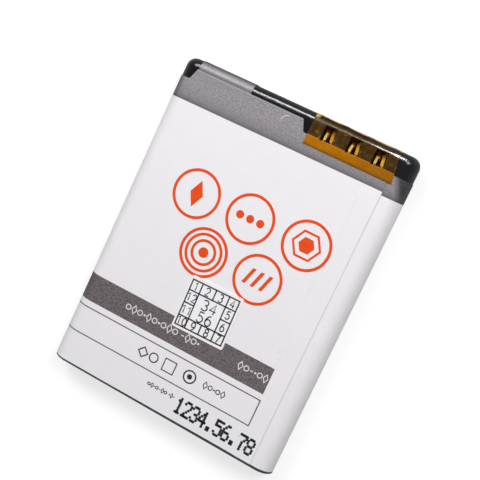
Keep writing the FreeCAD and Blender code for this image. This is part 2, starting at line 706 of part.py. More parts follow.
# Every object must be sound before anything is written
for item in doc.Objects:
    if "Invalid" in item.State or "Error" in item.State:
        raise RuntimeError(f"{item.Label} did not build: {item.State}")
for body in solids:
    if body.Shape.isNull() or not body.Shape.isValid() or len(body.Shape.Solids) != 1:
        raise RuntimeError(f"{body.Label} is not one sound solid")

os.makedirs("parts", exist_ok=True)
for body in solids:
    body.Shape.exportStep(f"parts/{body.Label}.step")
print(f"{len(solids)} sub-parts written")
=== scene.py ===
import math

import bpy
import numpy as np
from mathutils import Matrix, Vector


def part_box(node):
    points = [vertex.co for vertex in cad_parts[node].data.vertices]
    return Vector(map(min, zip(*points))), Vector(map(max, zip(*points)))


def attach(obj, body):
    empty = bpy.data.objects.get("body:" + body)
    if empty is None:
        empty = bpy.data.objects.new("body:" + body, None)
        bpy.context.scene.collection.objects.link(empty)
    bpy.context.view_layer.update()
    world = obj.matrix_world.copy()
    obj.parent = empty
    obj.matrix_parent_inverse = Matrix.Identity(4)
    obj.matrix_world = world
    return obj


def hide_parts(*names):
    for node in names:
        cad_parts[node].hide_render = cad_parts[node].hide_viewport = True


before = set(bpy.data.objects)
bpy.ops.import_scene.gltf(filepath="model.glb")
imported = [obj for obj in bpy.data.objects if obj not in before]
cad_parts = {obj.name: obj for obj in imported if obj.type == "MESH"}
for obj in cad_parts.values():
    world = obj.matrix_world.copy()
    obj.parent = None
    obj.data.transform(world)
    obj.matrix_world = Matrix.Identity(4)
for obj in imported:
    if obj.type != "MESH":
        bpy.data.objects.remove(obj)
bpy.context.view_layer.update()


# Cell can. A drawn and ironed aluminium can, 0.3 mm thick, with the winding sealed inside.
# Drawing leaves fine streaks along its length.
def colour(red, green, blue):
    """A colour as seen on a screen, 0 to 255, as the linear colour a shader takes: the low
    part divided by 12.92, the rest (c + 0.055) / 1.055 to the power 2.4."""
    seen = np.array([red, green, blue]) / 255
    straight = np.where(seen <= 0.04045, seen / 12.92, ((seen + 0.055) / 1.055) ** 2.4)
    return (*straight.tolist(), 1.0)


def add(tree, kind, inputs=None, **settings):
    """A node with its settings made and its inputs linked or filled in."""
    node = tree.nodes.new(kind)
    for name, setting in settings.items():
        setattr(node, name, setting)
    for key, given in (inputs or {}).items():
        if isinstance(given, bpy.types.NodeSocket):
            tree.links.new(given, node.inputs[key])
        else:
            node.inputs[key].default_value = given
    return node


def calc(tree, operation, first, second=0.0, third=0.0):
    """One step of arithmetic on sockets or numbers."""
    inputs = {0: first, 1: second, 2: third}
    return add(tree, "ShaderNodeMath", inputs, operation=operation).outputs[0]


def ramp(tree, given, low, high, start=0.0, stop=1.0):
    """Goes from start to stop while the given value goes from low to high."""
    inputs = {"Value": given, "From Min": low, "From Max": high, "To Min": start, "To Max": stop}
    return add(tree, "ShaderNodeMapRange", inputs).outputs[0]


def mix(tree, share, first, second):
    """The first value where the share is 0, the second where it is 1."""
    return add(tree, "ShaderNodeMix", {0: share, 2: first, 3: second}).outputs[0]


def tint(tree, share, first, second):
    """The first colour where the share is 0, the second where it is 1."""
    node = add(tree, "ShaderNodeMix", {0: share, 6: first, 7: second}, data_type="RGBA")
    return node.outputs[2]


def grain_group():
    """Two noises over the place in mm, stretched: broad patches and fine grain. Together
    they pick between two colours and two roughnesses, and the grain is the height."""
    group = bpy.data.node_groups.new("surface grain", "ShaderNodeTree")
    for name, kind in (("Place", "Vector"), ("Stretch", "Vector"), ("Patches", "Float"),
                       ("Grain", "Float"), ("Light", "Color"), ("Dark", "Color"),
                       ("Smooth", "Float"), ("Rough", "Float")):
        group.interface.new_socket(name=name, in_out="INPUT", socket_type=f"NodeSocket{kind}")
    for name, kind in (("Colour", "Color"), ("Roughness", "Float"), ("Height", "Float")):
        group.interface.new_socket(name=name, in_out="OUTPUT", socket_type=f"NodeSocket{kind}")
    given = group.nodes.new("NodeGroupInput").outputs
    place = add(group, "ShaderNodeVectorMath", {0: given["Place"], 1: given["Stretch"]},
                operation="MULTIPLY").outputs[0]
    broad = add(group, "ShaderNodeTexNoise",
                {"Vector": place, "Scale": given["Patches"], "Detail": 4.0}).outputs[0]
    fine = add(group, "ShaderNodeTexNoise",
               {"Vector": place, "Scale": given["Grain"], "Detail": 2.0}).outputs[0]
    broad = ramp(group, broad, 0.3, 0.7)
    fine = ramp(group, fine, 0.3, 0.7)
    share = mix(group, 0.5, broad, fine)
    add(group, "NodeGroupOutput", {
        "Colour": tint(group, share, given["Light"], given["Dark"]),
        "Roughness": mix(group, share, given["Smooth"], given["Rough"]),
        "Height": fine})
    return group


surface_grain = grain_group()


def new_material(name):
    """A material with its shader, and the place on the piece in mm."""
    material = bpy.data.materials.new(name)
    material.use_nodes = True
    tree = material.node_tree
    shader = tree.nodes["Principled BSDF"]
    spot = tree.nodes.new("ShaderNodeTexCoord").outputs["Object"]
    place = add(tree, "ShaderNodeVectorMath", {0: spot, "Scale": 1000.0}, operation="SCALE")
    return material, tree, shader, place.outputs[0]


def grain(tree, place, light, dark, smooth, rough, patches, fine, stretch=(1, 1, 1)):
    """The grain group set to one finish's colours, roughnesses and sizes, as its outputs."""
    return add(tree, "ShaderNodeGroup", {
        "Place": place, "Stretch": stretch, "Patches": patches, "Grain": fine, "Light": light,
        "Dark": dark, "Smooth": smooth, "Rough": rough}, node_tree=surface_grain).outputs


def emboss(tree, shader, height, depth):
    """Gives the surface a relief as deep as the depth, in mm."""
    bump = add(tree, "ShaderNodeBump", {"Height": height, "Distance": depth / 1000})
    tree.links.new(bump.outputs[0], shader.inputs["Normal"])


def finish(name, light, dark, smooth, rough, patches, fine, stretch=(1, 1, 1), depth=0.004,
           metallic=0.0):
    """A plain finish: the grain group's colour, roughness and relief, and nothing else."""
    material, tree, shader, place = new_material(name)
    grains = grain(tree, place, light, dark, smooth, rough, patches, fine, stretch)
    tree.links.new(grains["Colour"], shader.inputs["Base Color"])
    tree.links.new(grains["Roughness"], shader.inputs["Roughness"])
    shader.inputs["Metallic"].default_value = metallic
    emboss(tree, shader, grains["Height"], depth)
    return material


def dress(material, *names):
    """Gives solids of the frame this material."""
    for name in names:
        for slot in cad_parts[name].material_slots:
            slot.material = material


dress(finish("drawn aluminium", colour(205, 207, 210), colour(172, 175, 180), 0.28, 0.45,
             0.8, 9.0, (3, 0.15, 3), 0.003, 1.0), "cell_can")

# Lid of the can with its filling plug. Stamped from rolled aluminium and welded in by laser,
# so it is duller than the can and its grain runs across the pack.
dress(finish("stamped aluminium", colour(196, 198, 201), colour(160, 163, 168), 0.35, 0.52,
             1.2, 11.0, (0.3, 3, 3), 0.004, 1.0), "cell_lid", "fill_plug")

# Bush round the rivet. Injection moulded from natural grey polypropylene, slightly waxy, and
# pinched between the rivet's head and the lid.
dress(finish("moulded bush", colour(178, 180, 178), colour(158, 160, 158), 0.38, 0.5,
             1.5, 14.0), "lid_gasket")

# Rivet, board tabs and the three folded strips. Cold rolled strip with a nickel plating,
# welded in spots; rolling marks run along the strips.
dress(finish("nickel plating", colour(206, 202, 192), colour(176, 171, 160), 0.2, 0.38,
             1.0, 12.0, (0.3, 3, 3), 0.003, 1.0),
      "terminal_rivet", "board_tab_negative", "board_tab_positive", "negative_lead",
      "positive_lead", "fuse_lead")

# Insulating sheet on the lid and adhesive sheet on the can's bottom. Die-cut from fibre
# paper and from a tacky foam film, both matt.
dress(finish("fibre paper", colour(228, 222, 205), colour(206, 198, 178), 0.7, 0.85,
             1.4, 10.0, (1, 1, 1), 0.01), "lid_insulator")
dress(finish("tacky film", colour(214, 212, 205), colour(192, 189, 180), 0.5, 0.7,
             1.0, 8.0), "bottom_adhesive")

# Protection board. Glass laminate with a green solder mask, milled out of a panel; the weave
# of the glass shows faintly through the mask.
board, tree, shader, place = new_material("board laminate")
weave = add(tree, "ShaderNodeTexWave", {"Vector": place, "Scale": 1.6, "Distortion": 0.4},
            bands_direction="X").outputs["Fac"]
cross = add(tree, "ShaderNodeTexWave", {"Vector": place, "Scale": 1.6, "Distortion": 0.4},
            bands_direction="Z").outputs["Fac"]
threads = calc(tree, "MULTIPLY", weave, cross)
grains = grain(tree, place, colour(22, 96, 58), colour(14, 74, 44), 0.3, 0.42, 0.7, 9.0)
tree.links.new(tint(tree, calc(tree, "MULTIPLY", threads, 0.35), grains["Colour"],
                    colour(58, 128, 84)), shader.inputs["Base Color"])
tree.links.new(grains["Roughness"], shader.inputs["Roughness"])
emboss(tree, shader, threads, 0.004)
dress(board, "circuit_board")

# Control chip. Black epoxy moulded round a lead frame; its tinned pins stand out above and
# below, so what lies far from the middle height is metal.
CHIP_MIDDLE = 2.1
CHIP_PINS = 0.92
chip, tree, shader, place = new_material("chip resin and pins")
height = add(tree, "ShaderNodeSeparateXYZ", {0: place}).outputs[2]
apart = calc(tree, "ABSOLUTE", calc(tree, "SUBTRACT", height, CHIP_MIDDLE))
pin = ramp(tree, apart, CHIP_PINS - 0.01, CHIP_PINS + 0.01)
grains = grain(tree, place, colour(46, 46, 49), colour(33, 33, 36), 0.45, 0.6, 1.5, 16.0)
tree.links.new(tint(tree, pin, grains["Colour"], colour(196, 197, 200)),
               shader.inputs["Base Color"])
tree.links.new(pin, shader.inputs["Metallic"])
tree.links.new(grains["Roughness"], shader.inputs["Roughness"])
emboss(tree, shader, grains["Height"], 0.004)
dress(chip, "protection_chip")

# Switch chip. The same epoxy, ground a little smoother and without pins, soldered flat on the
# board beside the control chip.
dress(finish("chip resin", colour(50, 50, 52), colour(36, 36, 39), 0.4, 0.55, 1.5, 16.0),
      "switch_chip")

# Resistors and capacitor. Fired ceramic blocks with tinned ends: what lies far from the
# block's middle is metal. The capacitor's ceramic is tan, the resistors' is near black.
CHIP_END = 0.5
NEAR_BLACK = (colour(44, 44, 50), colour(30, 30, 36))
TAN = (colour(176, 146, 108), colour(152, 122, 86))
for name, (light, dark) in (("sense_resistor", NEAR_BLACK), ("id_resistor", NEAR_BLACK),
                            ("supply_resistor", NEAR_BLACK), ("bypass_capacitor", TAN)):
    low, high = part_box(name)
    middle = (low.x + high.x) * 500
    block, tree, shader, place = new_material(f"ceramic {name}")
    across = add(tree, "ShaderNodeSeparateXYZ", {0: place}).outputs[0]
    apart = calc(tree, "ABSOLUTE", calc(tree, "SUBTRACT", across, middle))
    end = ramp(tree, apart, CHIP_END - 0.01, CHIP_END + 0.01)
    grains = grain(tree, place, light, dark, 0.35, 0.5, 2.0, 18.0)
    tree.links.new(tint(tree, end, grains["Colour"], colour(190, 190, 188)),
                   shader.inputs["Base Color"])
    tree.links.new(end, shader.inputs["Metallic"])
    tree.links.new(grains["Roughness"], shader.inputs["Roughness"])
    emboss(tree, shader, grains["Height"], 0.003)
    dress(block, name)

# Thermal fuse. A flat moulded case of dark polyester, laid on the insulating sheet between
# the two nickel strips that are welded to it.
dress(finish("fuse case", colour(62, 58, 54), colour(44, 41, 39), 0.4, 0.58, 1.2, 12.0),
      "thermal_fuse")

# Contacts. Three forks bent from phosphor bronze strip and plated with gold. The upper edge of
# each leaf is upset to a flat bead. The left leaf is painted a lighter yellow as painted light,
# its end dark red as painted shade, and the lower walls a darker orange as painted shade.
SLOTS = (5.025, 8.625, 12.225)
FORK_SEAT = 19.55
FORK_LOW, FORK_TOP = 1.35, 3.25
FORK_PATH = np.array([(-0.47, 2.1), (-0.185, 1.6), (-0.58, 0.5), (-0.58, 0.07), (0.58, 0.07),
                      (0.58, 0.5), (0.185, 1.6), (0.47, 2.1)])
CORNER_HALF = 0.09
STRIP_HALF = 0.07
BEAD_HALF = 0.21
BEAD_TALL = 0.09
BEAD_ROUND = 0.03
BEAD_NECK = 0.06
BEAD_LEAN = 0.3
FADE_START, FADE_LENGTH = 0.12, 0.3
BEND_START, BEND_LENGTH = 0.35, 1.25
TIP_DROP = 0.14
DROP_START = 0.4
UPPER_FROM = 2.5
LEFT_SHIFT = (-0.12, 0.27)
RIGHT_SHIFT = (-0.15, 0.09)
LEFT_SIZE, RIGHT_SIZE = 0.8, 1.12
LEAF_TIP_SHADE_FROM = (20.75, 20.95)


def fork(middle):
    """One strip as a section carried along a path. In plan the path runs from one leaf's tip
    to the pinch, the root, across the back and up the other leaf, its corners rounded by a
    running mean. The section is a wall with a bead on top, given as distances across the
    path and heights. The bead fades to nothing across the back and is bent outwards in even
    measure to the tips. Its top falls inwards, and the whole upper edge to the tips."""
    reach = np.append(0, np.cumsum(np.linalg.norm(np.diff(FORK_PATH, axis=0), axis=1)))
    step = np.linspace(0, reach[-1], 121)
    near = step[:, None] + np.linspace(-CORNER_HALF, CORNER_HALF, 9)
    near = np.clip(near, 0, reach[-1])
    path = np.stack([np.interp(near, reach, FORK_PATH[:, k]).mean(1) for k in (0, 1)], -1)
    runs = np.gradient(path, axis=0)
    runs /= np.linalg.norm(runs, axis=1)[:, None]
    outward = np.column_stack([runs[:, 1], -runs[:, 0]])
    neck = FORK_TOP - BEAD_TALL
    half = np.array([(STRIP_HALF, FORK_LOW), (STRIP_HALF, neck - BEAD_NECK), (BEAD_HALF, neck),
                     (BEAD_HALF, FORK_TOP - BEAD_ROUND), (BEAD_HALF - BEAD_ROUND, FORK_TOP)])
    section = np.vstack([half, half[::-1] * (-1, 1)])
    fade = np.clip((path[:, 1] - FADE_START) / FADE_LENGTH, 0, 1)[:, None]
    limit = STRIP_HALF + (BEAD_HALF - STRIP_HALF) * fade
    bead_size = np.where(path[:, :1] < 0, LEFT_SIZE, RIGHT_SIZE)
    away = np.clip(section[:, 0], -limit, limit)
    rise = np.clip((path[:, 1:] - BEND_START) / BEND_LENGTH, 0, 1)
    left, right = (low + (high - low) * rise for low, high in (LEFT_SHIFT, RIGHT_SHIFT))
    bend = np.where(path[:, :1] < 0, left, right)
    away = np.where(section[:, 1] > neck - 0.01, away * bead_size + bend * fade, away)
    spots = np.empty((len(path), len(section), 3))
    spots[..., :2] = path[:, None] + away[..., None] * outward[:, None]
    drop = BEAD_LEAN * (BEAD_HALF - section[:, 0])
    drop = drop + TIP_DROP * np.maximum(spots[..., 1] - DROP_START, 0)
    spots[..., 2] = section[:, 1] - drop * (section[:, 1] > UPPER_FROM)
    spots[..., :2] += (middle, FORK_SEAT)
    count, size = spots.shape[:2]
    number = np.arange(count * size).reshape(count, size)
    after = np.roll(number, -1, 1)
    quads = np.stack([number[:-1], after[:-1], after[1:], number[1:]], -1).reshape(-1, 4)
    faces = quads[:, ::-1].tolist() + [number[0].tolist(), number[-1, ::-1].tolist()]
    return spots.reshape(-1, 3) / 1000, faces


def lay_piece(name, spots, faces, material):
    """An object at the origin whose mesh has these points, in metres, and faces, all in one
    material."""
    mesh = bpy.data.meshes.new(name)
    mesh.from_pydata(spots.tolist(), [], faces)
    mesh.update()
    mesh.materials.append(material)
    piece = bpy.data.objects.new(name, mesh)
    bpy.context.scene.collection.objects.link(piece)
    return piece


gold, tree, shader, place = new_material("gold plating")
x, y, z = add(tree, "ShaderNodeSeparateXYZ", {0: place}).outputs
left_leaf = 0.0
for slot in SLOTS:
    gap = calc(tree, "SUBTRACT", x, slot)
    near = calc(tree, "MULTIPLY", ramp(tree, gap, -0.9, -0.88), ramp(tree, gap, 0.0, -0.05))
    left_leaf = calc(tree, "ADD", left_leaf, near)
grains = grain(tree, place, colour(255, 214, 74), colour(255, 160, 24), 0.36, 0.46, 1.6, 10.0)
# Painted shade: the left leaf's end is coloured dark red.
leaf_tip_shade = calc(tree, "MULTIPLY", left_leaf, ramp(tree, y, *LEAF_TIP_SHADE_FROM))
# Painted shade: low down in the slot the gold is mixed towards a darker orange.
deep_shade = ramp(tree, z, 2.8, 2.4)
# Painted light: the left leaf is mixed towards a lighter yellow, as if more lit.
gold_colour = tint(tree, calc(tree, "MULTIPLY", left_leaf, 0.7), grains["Colour"],
                   colour(255, 236, 110))
gold_colour = tint(tree, calc(tree, "MULTIPLY", deep_shade, 0.7), gold_colour, colour(214, 132, 40))
tree.links.new(tint(tree, leaf_tip_shade, gold_colour, colour(140, 52, 24)), shader.inputs["Base Color"])
tree.links.new(grains["Roughness"], shader.inputs["Roughness"])
shader.inputs["Metallic"].default_value = 0.3
shader.inputs["Specular IOR Level"].default_value = 0.1
emboss(tree, shader, grains["Height"], 0.003)
for slot, node in zip(SLOTS, ("contact_negative", "contact_id", "contact_positive")):
    piece = lay_piece(node.replace("contact", "fork"), *fork(slot), gold)
    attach(piece, "root")
    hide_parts(node)


# End cap and bottom plate. Moulded from black polycarbonate in a spark-eroded tool: glossy
# with slight waves where it is rounded, and finely lined at the corner beside the contacts.
LINES_START = 14.5
moulding, tree, shader, place = new_material("moulded black")
across = add(tree, "ShaderNodeSeparateXYZ", {0: place}).outputs[0]
grains = grain(tree, place, colour(26, 25, 30), colour(14, 13, 17), 0.13, 0.2, 0.9, 7.0)
waves = add(tree, "ShaderNodeTexNoise", {"Vector": place, "Scale": 1.3, "Detail": 1.0}).outputs[0]
lines = add(tree, "ShaderNodeTexWave", {"Vector": place, "Scale": 1.4, "Distortion": 0.6},
            bands_direction="X").outputs["Fac"]
lined = calc(tree, "MULTIPLY", lines, ramp(tree, across, LINES_START, LINES_START + 0.2))
relief = calc(tree, "ADD", calc(tree, "MULTIPLY", waves, 2.0),
              calc(tree, "ADD", calc(tree, "MULTIPLY", grains["Height"], 0.25),
                   calc(tree, "MULTIPLY", lined, 0.5)))
tree.links.new(tint(tree, calc(tree, "MULTIPLY", lined, 0.25), grains["Colour"],
                    colour(52, 50, 56)), shader.inputs["Base Color"])
tree.links.new(grains["Roughness"], shader.inputs["Roughness"])
shader.inputs["Specular IOR Level"].default_value = 0.42
emboss(tree, shader, relief, 0.008)
dress(moulding, "top_cap", "bottom_cap")


# Label. Polyester film printed white with two grey bands and a thin outline, wrapped once
# round the pack and lapped over its own start, which shows as a step along the printed face.
# All the print that is a straight band or line is here; the film's cut edge is left pale.
PRINT_TURN = math.radians(0.36)
BAND_FRONT = 16.96
BAND_START = 16.51
SEAM = 14.375
LOWER_BAND = (-13.31, -9.6)
BAND_END = 11.86
OUTLINE_ROWS = (-17.92, -14.2)
OUTLINE_END = 11.9
OUTLINE_HALF = 0.08
FACE = 4.2
HALF_WIDTH = 17.25
TONES_LENGTH = 6.0
LAP = (11.395, 11.895, 0.09)
SIDE_MIDDLE = (15.15, 2.1)
PRINT_REACH = 2.088
SIDE_DARK = (15.95, 17.0)
FOLD = 21.37
FLAP_END = -6.725
TONGUE_SHADE = 21.24
CUT_END = (-22.4, -22.3)
SCUFF_MIDDLE = (-0.55, 19.9, 0.0)
SCUFF_RADIUS = 0.89
label, tree, shader, place = new_material("printed film")
x, y, z = add(tree, "ShaderNodeSeparateXYZ", {0: place}).outputs
on_print = add(tree, "ShaderNodeVectorRotate", {"Vector": place, "Angle": -PRINT_TURN},
               rotation_type="Z_AXIS").outputs[0]
across, along = add(tree, "ShaderNodeSeparateXYZ", {0: on_print}).outputs[:2]

# The upper band. Its edge steps at the seam on the printed face and runs from the one level
# to the other across the back. Its grey goes through a row of tones along the pack, darkens
# round the sides and is mottled.
front = ramp(tree, z, 2.0, 2.2)
past_seam = ramp(tree, x, SEAM, SEAM + 0.01)
front_edge = mix(tree, past_seam, BAND_FRONT, BAND_START)
back_edge = ramp(tree, x, -HALF_WIDTH, HALF_WIDTH, BAND_FRONT, BAND_START)
above = calc(tree, "SUBTRACT", along, mix(tree, front, back_edge, front_edge))
top_band = ramp(tree, above, -0.03, 0.03)
tones = add(tree, "ShaderNodeValToRGB", {0: ramp(tree, above, 0.0, TONES_LENGTH)})
stops = [(0.0, colour(94, 90, 95)), (0.04, colour(114, 109, 113)),
         (0.1, colour(133, 129, 132)), (0.18, colour(142, 138, 141)),
         (0.3, colour(151, 147, 150)), (0.56, colour(154, 150, 154)),
         (0.68, colour(150, 146, 150)), (0.84, colour(148, 144, 148)),
         (1.0, colour(138, 134, 138))]
while len(tones.color_ramp.elements) < len(stops):
    tones.color_ramp.elements.new(0.5)
for element, (spot, shade) in zip(tones.color_ramp.elements, stops):
    element.position = spot
    element.color = shade
speck = add(tree, "ShaderNodeTexNoise", {"Vector": place, "Scale": 4.8, "Detail": 3.0}).outputs[0]
slant = calc(tree, "MULTIPLY", calc(tree, "MAXIMUM", calc(tree, "SUBTRACT", y, 17.0), 0.0),
             ramp(tree, x, 0.0, 1.0, 0.0, 0.55))
side_dark = ramp(tree, calc(tree, "ADD", calc(tree, "ABSOLUTE", x), slant), *SIDE_DARK)
band_grey = tint(tree, calc(tree, "MULTIPLY", side_dark, 0.95), tones.outputs[0],
                 colour(40, 36, 42))
band_grey = tint(tree, ramp(tree, speck, 0.42, 0.62, 0.0, 0.44), band_grey, colour(92, 86, 92))
paper = grain(tree, place, colour(241, 239, 242), colour(236, 233, 237), 0.4, 0.52, 0.25, 5.0)
print_colour = tint(tree, top_band, paper["Colour"], band_grey)

# The lower band, which ends short of the right side, and the outline under it.
low_band = calc(tree, "MULTIPLY", ramp(tree, along, LOWER_BAND[0] - 0.03, LOWER_BAND[0] + 0.03),
                ramp(tree, along, LOWER_BAND[1] + 0.03, LOWER_BAND[1] - 0.03))
low_band = calc(tree, "MULTIPLY", low_band, ramp(tree, across, BAND_END + 0.03, BAND_END - 0.03))
low_grey = tint(tree, ramp(tree, speck, 0.38, 0.62), colour(122, 114, 116), colour(82, 76, 78))
low_grey = tint(tree, calc(tree, "MULTIPLY", side_dark, 0.6), low_grey, colour(48, 44, 48))
print_colour = tint(tree, low_band, print_colour, low_grey)
row_gap = calc(tree, "MINIMUM",
               calc(tree, "ABSOLUTE", calc(tree, "SUBTRACT", along, OUTLINE_ROWS[0])),
               calc(tree, "ABSOLUTE", calc(tree, "SUBTRACT", along, OUTLINE_ROWS[1])))
rows = ramp(tree, row_gap, OUTLINE_HALF + 0.02, OUTLINE_HALF - 0.02)
rows = calc(tree, "MULTIPLY", rows, ramp(tree, across, OUTLINE_END + 0.07, OUTLINE_END + 0.05))
end_gap = calc(tree, "ABSOLUTE", calc(tree, "SUBTRACT", across, OUTLINE_END))
end_line = ramp(tree, end_gap, OUTLINE_HALF + 0.02, OUTLINE_HALF - 0.02)
inside = calc(tree, "MULTIPLY", ramp(tree, along, OUTLINE_ROWS[0] - 0.02, OUTLINE_ROWS[0]),
              ramp(tree, along, OUTLINE_ROWS[1] + 0.02, OUTLINE_ROWS[1]))
outline = calc(tree, "MAXIMUM", rows, calc(tree, "MULTIPLY", end_line, inside))
print_colour = tint(tree, calc(tree, "MULTIPLY", outline, 0.92), print_colour, colour(42, 40, 46))

# Only the film's outer face is printed: what lies PRINT_REACH or more from the pack's middle
# plane or the middle line of a side's round, and on the lap by its step more. The cut edge
# and the inner face stay pale.
over = calc(tree, "MAXIMUM", calc(tree, "SUBTRACT", calc(tree, "ABSOLUTE", x), SIDE_MIDDLE[0]), 0.0)
rise = calc(tree, "SUBTRACT", z, SIDE_MIDDLE[1])
reach = calc(tree, "SQRT", calc(tree, "ADD", calc(tree, "MULTIPLY", over, over),
                               calc(tree, "MULTIPLY", rise, rise)))
lapped = calc(tree, "MULTIPLY", ramp(tree, x, LAP[0], LAP[1]), ramp(tree, x, SEAM + 0.002, SEAM))
lapped = calc(tree, "MULTIPLY", lapped, front)
surface = calc(tree, "ADD", PRINT_REACH, calc(tree, "MULTIPLY", lapped, LAP[2]))
printed = calc(tree, "MAXIMUM", ramp(tree, calc(tree, "SUBTRACT", reach, surface), -0.003, 0.003),
               ramp(tree, y, FOLD - 0.02, FOLD))
print_colour = tint(tree, printed, colour(214, 211, 214), print_colour)

# Painted light and shade where the film turns over the cap's edge: a painted shadow along the
# tongue's rim, painted shade in the crease with a painted highlight line before it, and painted
# shade down the flap's end. Then a faint painted shadow beside the seam.
# Painted shadow along the tongue's cut rim.
tongue_shadow = calc(tree, "MULTIPLY", ramp(tree, y, TONGUE_SHADE - 0.04, TONGUE_SHADE),
              ramp(tree, x, FLAP_END, FLAP_END + 0.05))
print_colour = tint(tree, calc(tree, "MULTIPLY", tongue_shadow, 0.9), print_colour, colour(28, 26, 32))
# Painted shade in the crease, where the film starts round the cap's edge, mottled.
crease_shade = calc(tree, "MULTIPLY", ramp(tree, y, FOLD - 0.12, FOLD - 0.02),
              ramp(tree, y, FOLD + 0.42, FOLD + 0.22))
crease_shade = calc(tree, "MULTIPLY", crease_shade, ramp(tree, speck, 0.3, 0.55, 1.0, 0.6))
print_colour = tint(tree, calc(tree, "MULTIPLY", crease_shade, 0.85), print_colour, colour(66, 60, 66))
# Painted shade down the flap, where it turns away from the light at the end.
flap_end_shade = calc(tree, "MULTIPLY", ramp(tree, y, 20.0, 21.0), ramp(tree, z, 4.0, 3.4))
print_colour = tint(tree, calc(tree, "MULTIPLY", flap_end_shade, 0.9), print_colour, colour(46, 42, 48))
# Painted highlight: a pale line just before the fold.
fold_highlight = calc(tree, "MULTIPLY", ramp(tree, y, FOLD - 0.3, FOLD - 0.22),
                   ramp(tree, y, FOLD - 0.12, FOLD - 0.18))
print_colour = tint(tree, calc(tree, "MULTIPLY", fold_highlight, 0.3), print_colour,
                    colour(215, 212, 216))
# Painted shadow: a faint grey line beside the lap's edge at the seam.
seam_shadow = calc(tree, "MULTIPLY", ramp(tree, x, SEAM - 0.01, SEAM),
                 ramp(tree, x, SEAM + 0.2, SEAM + 0.08))
seam_shadow = calc(tree, "MULTIPLY", seam_shadow, front)
print_colour = tint(tree, calc(tree, "MULTIPLY", seam_shadow, 0.1), print_colour,
                    colour(110, 108, 116))

# A scuff as a piece of an arc on the upper band, and the inked cut edge at the closed end.
scuff = add(tree, "ShaderNodeVectorMath", {0: add(tree, "ShaderNodeCombineXYZ", {
    0: across, 1: along}).outputs[0], 1: SCUFF_MIDDLE}, operation="DISTANCE").outputs["Value"]
scuff = ramp(tree, calc(tree, "ABSOLUTE", calc(tree, "SUBTRACT", scuff, SCUFF_RADIUS)), 0.07, 0.03)
scuff = calc(tree, "MULTIPLY", scuff, ramp(tree, across, SCUFF_MIDDLE[0], SCUFF_MIDDLE[0] - 0.1))
scuff = calc(tree, "MULTIPLY", scuff, ramp(tree, along, SCUFF_MIDDLE[1], SCUFF_MIDDLE[1] + 0.1))
scuff = calc(tree, "MULTIPLY", scuff, front)
print_colour = tint(tree, calc(tree, "MULTIPLY", scuff, 0.8), print_colour, colour(226, 224, 228))
cut_end = calc(tree, "SUBTRACT", y, ramp(tree, x, -10.0, 8.0, *CUT_END))
cut_end = ramp(tree, cut_end, 0.04, 0.0)
print_colour = tint(tree, calc(tree, "MULTIPLY", cut_end, 0.95), print_colour, colour(18, 22, 40))
tree.links.new(print_colour, shader.inputs["Base Color"])
tree.links.new(paper["Roughness"], shader.inputs["Roughness"])
shader.inputs["Specular IOR Level"].default_value = 0.4
emboss(tree, shader, paper["Height"], 0.003)
dress(label, "wrap_label")


# Orange rings. Five circles of the print, screened in orange ink over the white, each round
# a plain figure: a lozenge, a row of dots, a hexagon, circles in each other, slanted bars.
RING_OUTER = 3.39
RING_STROKE = 0.4
INK_FOOT = 0.002
INK_TOP = 0.012
INK_LEAD = 0.12
RING_POINTS = 288
RING_PLACES = np.array([(-7.681, 6.434), (0.422, 6.531), (8.666, 6.642), (-3.464, -0.211),
                        (4.708, -0.185)])


def lie_on_label(flat, height):
    """Points of the print, turned by its angle on the pack, at a height over the label,
    which rises by the lap's step in a straight ramp across X. The ink starts to rise by
    INK_LEAD earlier, so that a wide stroke bridges the ramp's upper bend. In metres."""
    cosine, sine = math.cos(PRINT_TURN), math.sin(PRINT_TURN)
    turned = flat @ np.array([(cosine, sine), (-sine, cosine)])
    rise = np.clip((turned[:, 0] + INK_LEAD - LAP[0]) / (LAP[1] - LAP[0]), 0, 1) * LAP[2]
    return np.column_stack([turned, FACE + rise + height]) / 1000


def stroke(path, width, closed=False, lie=lie_on_label):
    """A flat bar section carried along a path: the path's points are offset by half the
    width to both sides along the mitre of the two runs that meet there, at the foot and at
    the top of the ink. Open ends are closed by one face each."""
    path = np.asarray(path, float)
    if closed:
        runs = np.roll(path, -1, 0) - path
        before = np.roll(runs, 1, 0)
    else:
        runs = np.vstack([path[1:] - path[:-1], path[-1:] - path[-2:-1]])
        before = np.vstack([runs[:1], runs[:-1]])
    runs /= np.linalg.norm(runs, axis=1)[:, None]
    before /= np.linalg.norm(before, axis=1)[:, None]
    sides = np.column_stack([-runs[:, 1] - before[:, 1], runs[:, 0] + before[:, 0]])
    sides /= np.maximum((sides * np.column_stack([-runs[:, 1], runs[:, 0]])).sum(1), 0.6)[:, None]
    left, right = path + sides * width / 2, path - sides * width / 2
    corners = np.stack([lie(left, INK_FOOT), lie(right, INK_FOOT), lie(right, INK_TOP),
                        lie(left, INK_TOP)], 1)
    count = len(path)
    here = np.arange(count if closed else count - 1)[:, None] * 4
    after = (here + 4) % (4 * count)
    turn = np.arange(4)[None, :]
    following = (turn + 1) % 4
    faces = np.stack([here + turn, after + turn, after + following, here + following], -1)
    faces = faces.reshape(-1, 4)[:, ::-1]
    if not closed:
        last = 4 * count
        lids = [[0, 1, 2, 3], [last - 1, last - 2, last - 3, last - 4]]
        faces = np.vstack([faces, lids])
    return corners.reshape(-1, 3), faces


